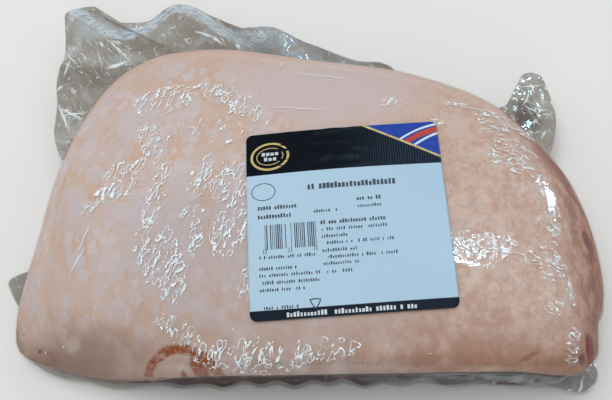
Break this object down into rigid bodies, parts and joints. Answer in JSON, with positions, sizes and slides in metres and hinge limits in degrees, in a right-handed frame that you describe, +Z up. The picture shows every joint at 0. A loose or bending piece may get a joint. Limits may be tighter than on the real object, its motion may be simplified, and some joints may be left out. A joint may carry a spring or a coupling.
{
  "type": "vacuum-packed pork shoulder",
  "caption": "Raw pork shoulder joint lying rind up in a clear, shrunk vacuum pouch, with crumpled spare film standing out round its edge and a square paper label on top.",
  "frame": {"origin": "middle of the underside's bounding box, on the surface that the pack lies on", "axes": "+X along the pack's longest side, to the right when its long cut face is nearest; +Y away from that cut face; +Z up, out of the rind"},
  "size_m": [0.2948, 0.2196, 0.0587],
  "materials": {
    "pack": "clear film drawn tight over pale pork rind, glossy with fine creases",
    "film": "clear pouch film, glossy, creased, hazy where it is doubled",
    "rind": "scalded pork skin, peach with pale round patches",
    "fat": "firm back fat, pale pinkish white",
    "lean": "moist lean pork, dark red, with pale seams",
    "label_paper": "satin coated paper, pale blue",
    "print": "satin printing ink"
  },
  "bodies": {
    "root": {"bag": "pack", "label": "label_paper"}
  },
  "joints": []
}
